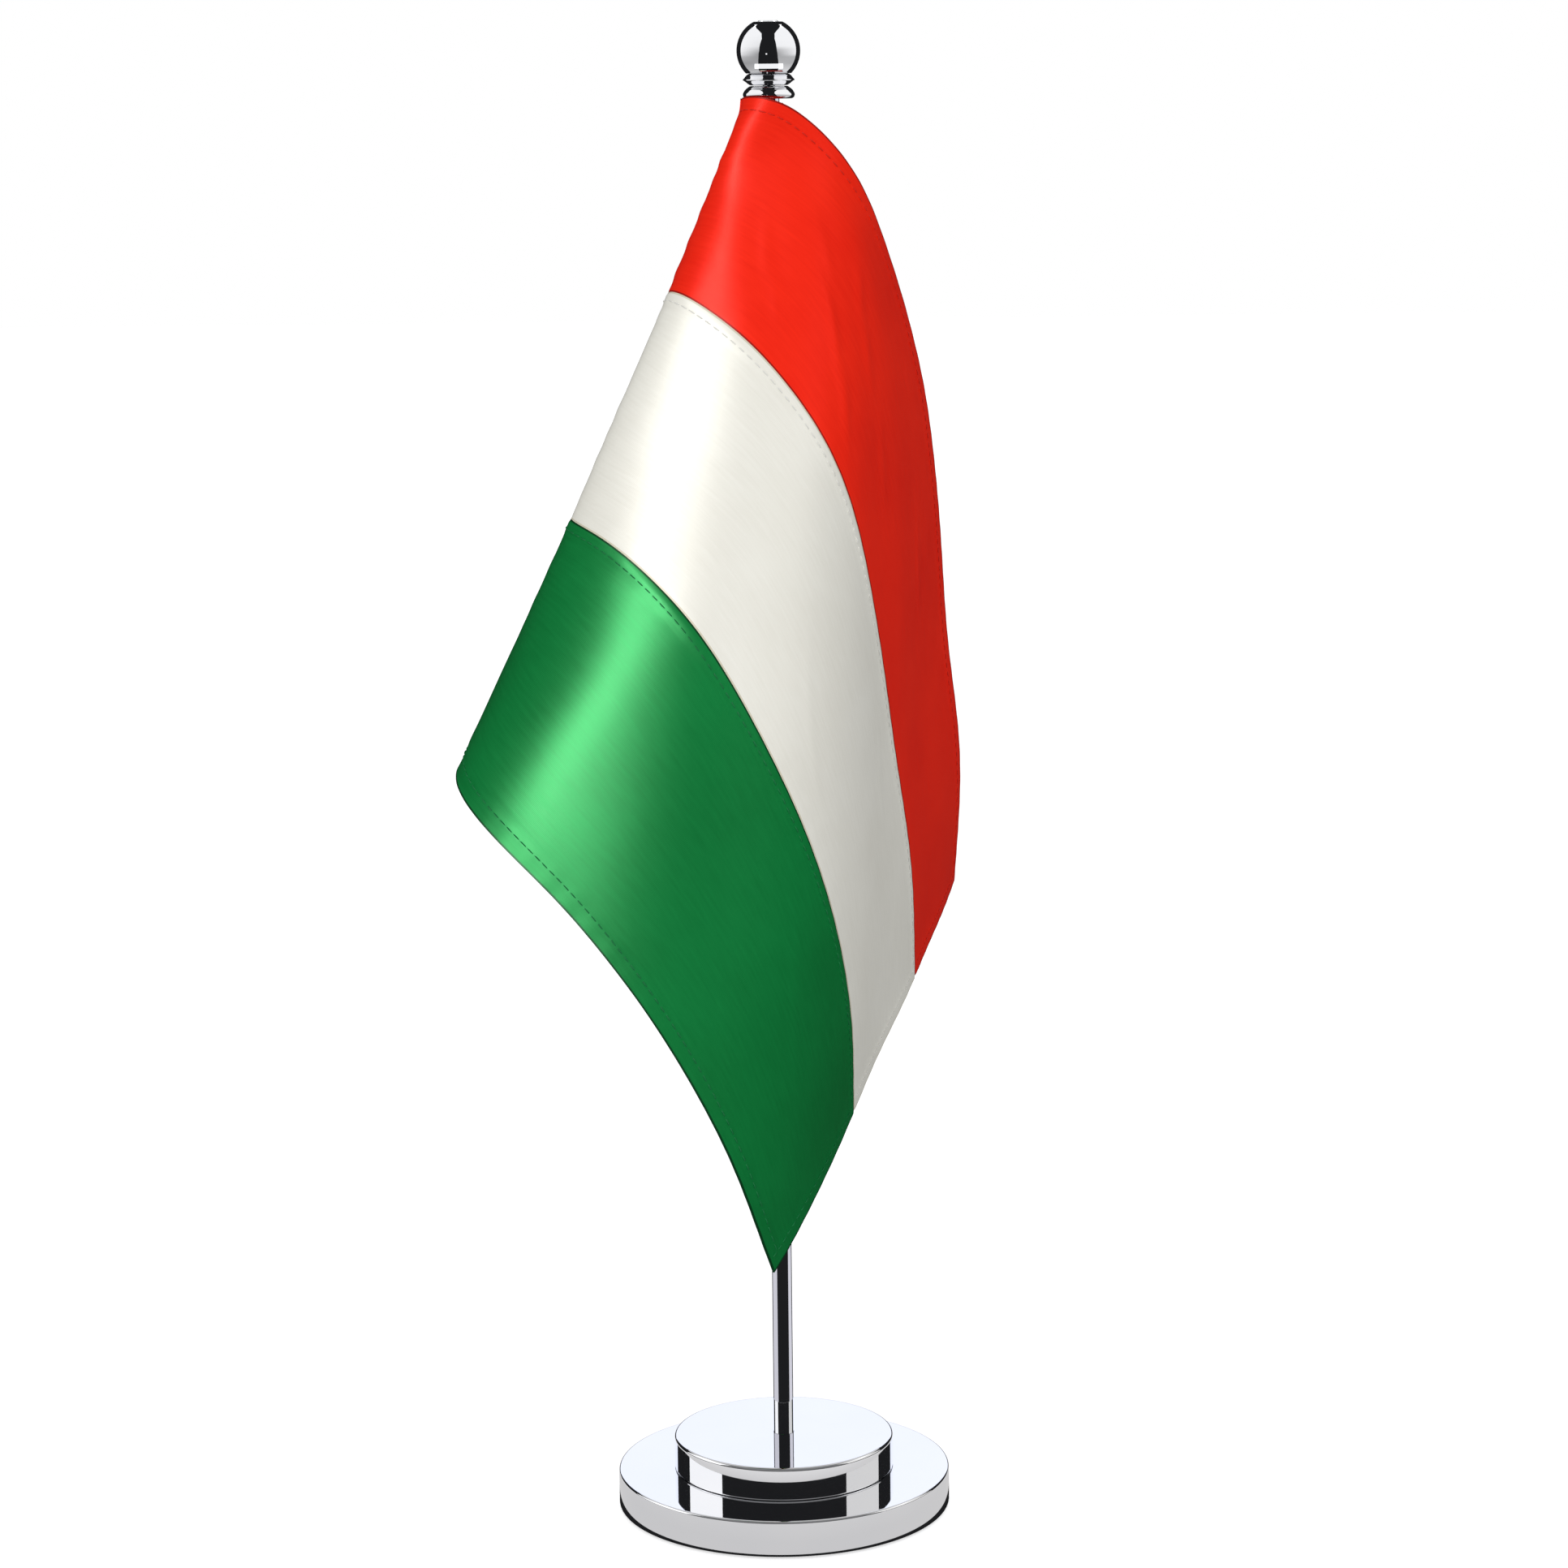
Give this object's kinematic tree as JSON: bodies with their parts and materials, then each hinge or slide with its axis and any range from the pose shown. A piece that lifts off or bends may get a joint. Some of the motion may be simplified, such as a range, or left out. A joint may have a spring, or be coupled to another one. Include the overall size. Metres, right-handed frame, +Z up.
{
  "type": "desk flag stand",
  "caption": "Table flag stand: a stepped round chrome base, a thin pole, a screw-on ball finial and a draped satin flag in horizontal stripes.",
  "frame": {"origin": "centre of the pad's underside, on the pole's axis, in the plane that the stand rests on", "axes": "+Z up the pole; -Y towards the side that the flag's front layer faces; +X to the right as seen from that side"},
  "size_m": [0.1087, 0.1265, 0.3181],
  "materials": {
    "chrome": "mirror-polished plating",
    "iron": "plain, unpolished",
    "zinc_steel": "zinc plated",
    "pad_rubber": "matt foam rubber",
    "ring_rubber": "smooth rubber",
    "red_satin": "satin weave with a soft sheen",
    "white_satin": "satin weave with a soft sheen",
    "green_satin": "satin weave with a soft sheen"
  },
  "bodies": {
    "stand": {"base_shell": "chrome", "base_weight": "iron", "base_pad": "pad_rubber", "tier_shell": "chrome", "tier_core": "iron", "pole_socket": "zinc_steel", "base_screw": "zinc_steel", "base_lock_washer": "zinc_steel", "base_washer": "zinc_steel", "pole_tube": "chrome"},
    "flag_ring": {"flag_grip_ring": "ring_rubber"},
    "flag": {"flag_sleeve": "red_satin", "flag_red_strip": "red_satin", "flag_white_strip": "white_satin", "flag_green_strip": "green_satin"},
    "finial_seat": {"finial_washer": "ring_rubber"},
    "finial": {"finial_ball": "chrome", "finial_cap": "chrome", "finial_lower_collar": "chrome", "finial_upper_collar": "chrome", "finial_stud": "zinc_steel"}
  },
  "joints": [
    {"name": "flag_height", "type": "slide", "parent": "stand", "child": "flag_ring", "axis": [0, 0, 1], "range_m": [-0.04, 0]},
    {"name": "flag_turn", "type": "hinge", "parent": "flag_ring", "child": "flag", "pos_m": [0, 0, 0.1614], "axis": [0, 0, 1], "continuous": true},
    {"name": "finial_lift", "type": "slide", "parent": "stand", "child": "finial_seat", "axis": [0, 0, 1], "range_m": [0, 0.005]},
    {"name": "finial_unscrew", "type": "hinge", "parent": "finial_seat", "child": "finial", "pos_m": [0, 0, 0.3028], "axis": [0, 0, 1], "range_deg": [0, 3620]}
  ],
  "couplings": [
    {"joint": "finial_unscrew", "follows": "finial_lift", "rad_per_m": 12566}
  ]
}
